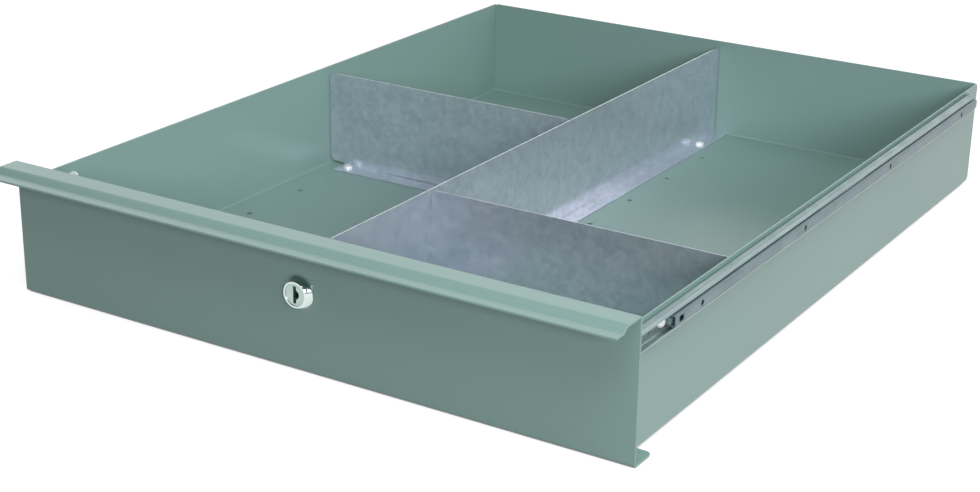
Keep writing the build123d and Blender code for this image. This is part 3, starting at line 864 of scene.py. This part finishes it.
class DRAWER_OT_divider_screws(bpy.types.Operator):
    """Turn one pan-head screw and set copies of it in the dividers' feet"""

    bl_idname = "drawer.divider_screws"
    bl_label = "Divider screws"
    first_turn, turn_step = math.radians(17), math.radians(41)  # no two recesses alike

    def execute(self, context):
        screws = context.scene.drawer_screws
        low, high = corners("divider_screws")
        seat = high.z - screws.head_height
        first = pan_screw(
            "divider_screw_set", screws.head_radius, screws.head_height, screws.shank_radius,
            seat - low.z, screws.recess,
        )
        made = []
        for count, place in enumerate(solid_middles("divider_screws")):
            take(first)
            bpy.ops.object.duplicate()
            copy = bpy.context.object
            copy.location = (place.x, place.y, seat)
            copy.rotation_euler = (0, 0, self.first_turn + self.turn_step * count)
            settle(copy)
            made.append(copy)
        bpy.data.objects.remove(first)
        take(made[0])
        for copy in made:
            copy.select_set(True)
        bpy.ops.object.join()
        made[0].name = "divider_screw_set"
        dress(made[0], "drawer", finish("screw_finish"), "divider_screws")
        return {"FINISHED"}


class DRAWER_OT_slides(bpy.types.Operator):
    """Make both slides: drawer channels, cabinet rails, ball cages and balls"""

    bl_idname = "drawer.slides"
    bl_label = "Slides"

    def execute(self, context):
        sizes = context.scene.drawer_sheet
        for side in ("left", "right"):
            node = f"drawer_channel_{side}"
            channel = eased_copy(node, f"channel_{side}_sheet", sizes.fine_edge)
            dress(channel, "drawer", finish("drawn_zinc_finish"), node)
            node = f"cabinet_rail_{side}"
            rail = eased_copy(node, f"rail_{side}_sheet", sizes.fine_edge)
            # the rails take the darkened zinc, painted shade under the channel's lip
            dress(rail, "runners", finish("rail_finish"), node)
            coat_node(f"ball_cage_{side}", finish("cage_finish"))
            coat_node(f"bearing_balls_{side}", finish("ball_finish"))
        return {"FINISHED"}


class DRAWER_OT_slide_fixings(bpy.types.Operator):
    """Turn the channel screws and finish their nuts and the front bumpers"""

    bl_idname = "drawer.slide_fixings"
    bl_label = "Slide fixings"
    screw_turn = math.radians(23)

    def execute(self, context):
        screws, sizes = context.scene.drawer_screws, context.scene.drawer_sheet
        for side, way in (("left", -1), ("right", 1)):
            low, high = corners(f"channel_screw_{side}")
            crown = high.x if way > 0 else low.x
            shank = high.x - low.x - screws.slide_head_height
            screw = pan_screw(
                f"channel_screw_{side}_turned", screws.slide_head_radius,
                screws.slide_head_height, screws.slide_shank_radius, shank, screws.slide_recess,
            )
            middle = (low + high) / 2
            screw.location = (crown - way * screws.slide_head_height, middle.y, middle.z)
            screw.rotation_euler = (self.screw_turn, way * math.pi / 2, 0)
            settle(screw)
            dress(screw, "drawer", finish("screw_finish"), f"channel_screw_{side}")
            nut = eased_copy(f"channel_nut_{side}", f"channel_nut_{side}_eased", sizes.fine_edge)
            dress(nut, "drawer", finish("screw_finish"), f"channel_nut_{side}")
            node = f"front_bumper_{side}"
            bumper = eased_copy(node, f"{node}_eased", sizes.fine_edge)
            dress(bumper, "drawer", finish("rubber_finish"), node)
        return {"FINISHED"}


class DRAWER_OT_lock(bpy.types.Operator):
    """Make the cam lock: bezel, plug, wafers, cam and what holds them"""

    bl_idname = "drawer.lock"
    bl_label = "Lock"

    def execute(self, context):
        sizes = context.scene.drawer_sheet
        housing = eased_copy("lock_housing", "lock_bezel", sizes.fine_edge)
        dress(housing, "drawer", finish("chrome_finish"), "lock_housing")
        plug = eased_copy("lock_plug", "lock_plug_turned", sizes.fine_edge)
        dress(plug, "lock_core", finish("satin_finish"), "lock_plug")
        cam = eased_copy("lock_cam", "lock_cam_plate", sizes.edge)
        dress(cam, "lock_core", finish("drawn_zinc_finish"), "lock_cam")
        nut = eased_copy("lock_nut", "lock_nut_eased", sizes.edge)
        dress(nut, "drawer", finish("chrome_finish"), "lock_nut")
        coat_node("lock_wafers", finish("brass_finish"))
        coat_node("cam_screw", finish("screw_finish"))
        coat_node("lock_washer", finish("screw_finish"))
        return {"FINISHED"}


class DRAWER_OT_stage(bpy.types.Operator):
    """Set the pale floor, the soft light and the camera"""

    bl_idname = "drawer.stage"
    bl_label = "Stage"
    lights = ("key", "side", "top", "rear", "left")
    light_aim = Vector((0, 0, 0.05))
    floor_sides = 96
    floor_gap = 0.0004  # floor below the drawer's underside
    painted_shade_reach = 0.03  # how near the drawer ambient occlusion takes away the floor's lift, as painted shade
    painted_shade_range = (0.04, 0.3)  # open share of the floor's view from full painted shade to none
    sky_bands = ((0.0, 0.06), (0.08, 0.06), (0.14, 0.78), (0.36, 0.78), (0.55, 0.12), (1.0, 0.08))
    sensor_width = 36.0
    sight = (0.01, 50.0)  # nearest and farthest that the camera sees

    def execute(self, context):
        scene, stage = context.scene, context.scene.drawer_stage
        scene.view_settings.view_transform = "Standard"
        self.lay_floor(stage)
        self.light_sky(scene, stage)
        for light in self.lights:
            values = (getattr(stage, f"{light}_{value}") for value in ("place", "size", "power"))
            self.hang_light(f"{light}_light", *values)
        self.place_camera(scene, stage)
        return {"FINISHED"}

    def lay_floor(self, stage):
        """Lays a round floor with a low wall, lifted to white in view; near the drawer the lift is
        taken away as painted shade over its real shadow.
        """
        bpy.ops.object.select_all(action="DESELECT")
        bpy.ops.mesh.primitive_circle_add(
            vertices=self.floor_sides, radius=stage.floor_radius, fill_type="NGON",
            location=(0, 0, -self.floor_gap),
        )
        floor = bpy.context.object
        floor.name = "studio_floor"
        settle(floor)
        edit(floor)
        bpy.ops.mesh.select_all(action="SELECT")
        wall = {"value": (0, 0, stage.backdrop)}
        bpy.ops.mesh.extrude_edges_move(TRANSFORM_OT_translate=wall)
        leave()
        material = bpy.data.materials.new("studio_floor")
        material.use_nodes = True
        material.cycles.emission_sampling = "NONE"
        tree = material.node_tree
        shader = tree.nodes["Principled BSDF"]
        shader.inputs["Base Color"].default_value = (*stage.floor, 1)
        shader.inputs["Roughness"].default_value = 0.9
        shader.inputs["Specular IOR Level"].default_value = 0.0
        shader.inputs["Emission Color"].default_value = (1, 1, 1, 1)
        # painted shade: ambient occlusion fades the floor's lift near and under the drawer
        in_view = reckon(tree, "MULTIPLY", self.seen(tree), self.outside_painted_shade(tree))
        lift = reckon(tree, "MULTIPLY", in_view, stage.floor_lift)
        tree.links.new(lift, shader.inputs["Emission Strength"])
        floor.data.materials.append(material)

    def seen(self, tree):
        """One for a surface in view, straight or in metal or glass, and nought for other light."""
        path = tree.nodes.new("ShaderNodeLightPath")
        seen = reckon(tree, "MAXIMUM", path.outputs["Is Camera Ray"], path.outputs["Is Glossy Ray"])
        return reckon(tree, "MAXIMUM", seen, path.outputs["Is Transmission Ray"])

    def outside_painted_shade(self, tree):
        """One where the floor lies open, and nought right under the drawer: painted shade by
        ambient occlusion.
        """
        occlusion = tree.nodes.new("ShaderNodeAmbientOcclusion")
        occlusion.inputs["Distance"].default_value = self.painted_shade_reach
        return spread(tree, occlusion.outputs["AO"], self.painted_shade_range, (0, 1))

    def light_sky(self, scene, stage):
        """Sets a sky that shines from behind, pale above the horizon and darker overhead."""
        world = bpy.data.worlds.new("studio")
        scene.world = world
        world.use_nodes = True
        tree = world.node_tree
        background = tree.nodes["Background"]
        way = tree.nodes.new("ShaderNodeSeparateXYZ")
        round_about = tree.nodes.new("ShaderNodeTexCoord").outputs["Generated"]
        tree.links.new(round_about, way.inputs["Vector"])
        ramp = tree.nodes.new("ShaderNodeValToRGB")
        bands = ramp.color_ramp.elements
        while len(bands) < len(self.sky_bands):
            bands.new(0.5)
        for band, (height, shade) in zip(bands, self.sky_bands):
            band.position = height
            band.color = (shade, shade, shade, 1)
        tree.links.new(way.outputs["Z"], ramp.inputs["Fac"])
        tree.links.new(ramp.outputs["Color"], background.inputs["Color"])
        sides = (stage.sky * (1 - stage.sky_lean), stage.sky * (1 + stage.sky_lean))
        strength = spread(tree, way.outputs["Y"], (-1, 1), sides)
        tree.links.new(strength, background.inputs["Strength"])

    def hang_light(self, name, place, size, watts):
        """Hangs a square soft light that looks at the drawer."""
        bpy.ops.object.select_all(action="DESELECT")
        bpy.ops.object.light_add(type="AREA", location=place)
        light = bpy.context.object
        light.name = name
        light.data.shape = "SQUARE"
        light.data.size = size
        light.data.energy = watts
        aim = self.light_aim - Vector(place)
        light.rotation_euler = aim.to_track_quat("-Z", "Y").to_euler()

    def place_camera(self, scene, stage):
        """Stands the camera where it sees the drawer as the photograph does."""
        bpy.ops.object.select_all(action="DESELECT")
        bpy.ops.object.camera_add()
        camera = bpy.context.object
        camera.name = "camera"
        camera.data.sensor_fit = "HORIZONTAL"
        camera.data.sensor_width = self.sensor_width
        camera.data.lens = stage.lens
        camera.data.clip_start, camera.data.clip_end = self.sight
        turn, rise, roll = stage.azimuth, stage.elevation, stage.roll
        level = math.cos(rise)
        back = Vector((math.sin(turn) * level, -math.cos(turn) * level, math.sin(rise)))
        right = Vector((math.cos(turn), math.sin(turn), 0))
        up = back.cross(right)
        side = math.cos(roll) * right + math.sin(roll) * up
        top = math.cos(roll) * up - math.sin(roll) * right
        axes = Matrix((side, top, back)).transposed().to_4x4()
        camera.matrix_world = Matrix.Translation(stage.camera_place) @ axes
        scene.camera = camera


class DRAWER_PT_pieces(bpy.types.Panel):
    """Lists the drawer's pieces and their sizes"""

    bl_idname = "DRAWER_PT_pieces"
    bl_label = "Workbench drawer"
    bl_space_type = "VIEW_3D"
    bl_region_type = "UI"
    bl_category = "Drawer"

    def draw(self, context):
        for operator in operators:
            self.layout.operator(operator.bl_idname)
        for name, group in groups.items():
            box = self.layout.box()
            box.label(text=group.__doc__)
            for size in group.__annotations__:
                box.prop(getattr(context.scene, name), size)


groups = {
    "drawer_front": DrawerFrontSizes,
    "drawer_sheet": DrawerSheetSizes,
    "drawer_screws": DrawerScrewSizes,
    "drawer_finishes": DrawerFinishes,
    "drawer_stage": DrawerStage,
}

operators = [
    DRAWER_OT_front_panel,
    DRAWER_OT_tray,
    DRAWER_OT_long_divider,
    DRAWER_OT_cross_dividers,
    DRAWER_OT_divider_screws,
    DRAWER_OT_slides,
    DRAWER_OT_slide_fixings,
    DRAWER_OT_lock,
    DRAWER_OT_stage,
]


def register():
    for group in groups.values():
        bpy.utils.register_class(group)
    for name, group in groups.items():
        setattr(bpy.types.Scene, name, PointerProperty(type=group))
    for operator in operators:
        bpy.utils.register_class(operator)
    bpy.utils.register_class(DRAWER_PT_pieces)


def unregister():
    bpy.utils.unregister_class(DRAWER_PT_pieces)
    for operator in reversed(operators):
        bpy.utils.unregister_class(operator)
    for name in groups:
        delattr(bpy.types.Scene, name)
    for group in reversed(list(groups.values())):
        bpy.utils.unregister_class(group)


def main():
    """Registers the add-on and makes the pieces in order."""
    register()
    bpy.ops.drawer.front_panel()
    bpy.ops.drawer.tray()
    bpy.ops.drawer.long_divider()
    bpy.ops.drawer.cross_dividers()
    bpy.ops.drawer.divider_screws()
    bpy.ops.drawer.slides()
    bpy.ops.drawer.slide_fixings()
    bpy.ops.drawer.lock()
    bpy.ops.drawer.stage()
    bpy.context.view_layer.update()


if __name__ == "__main__":
    main()
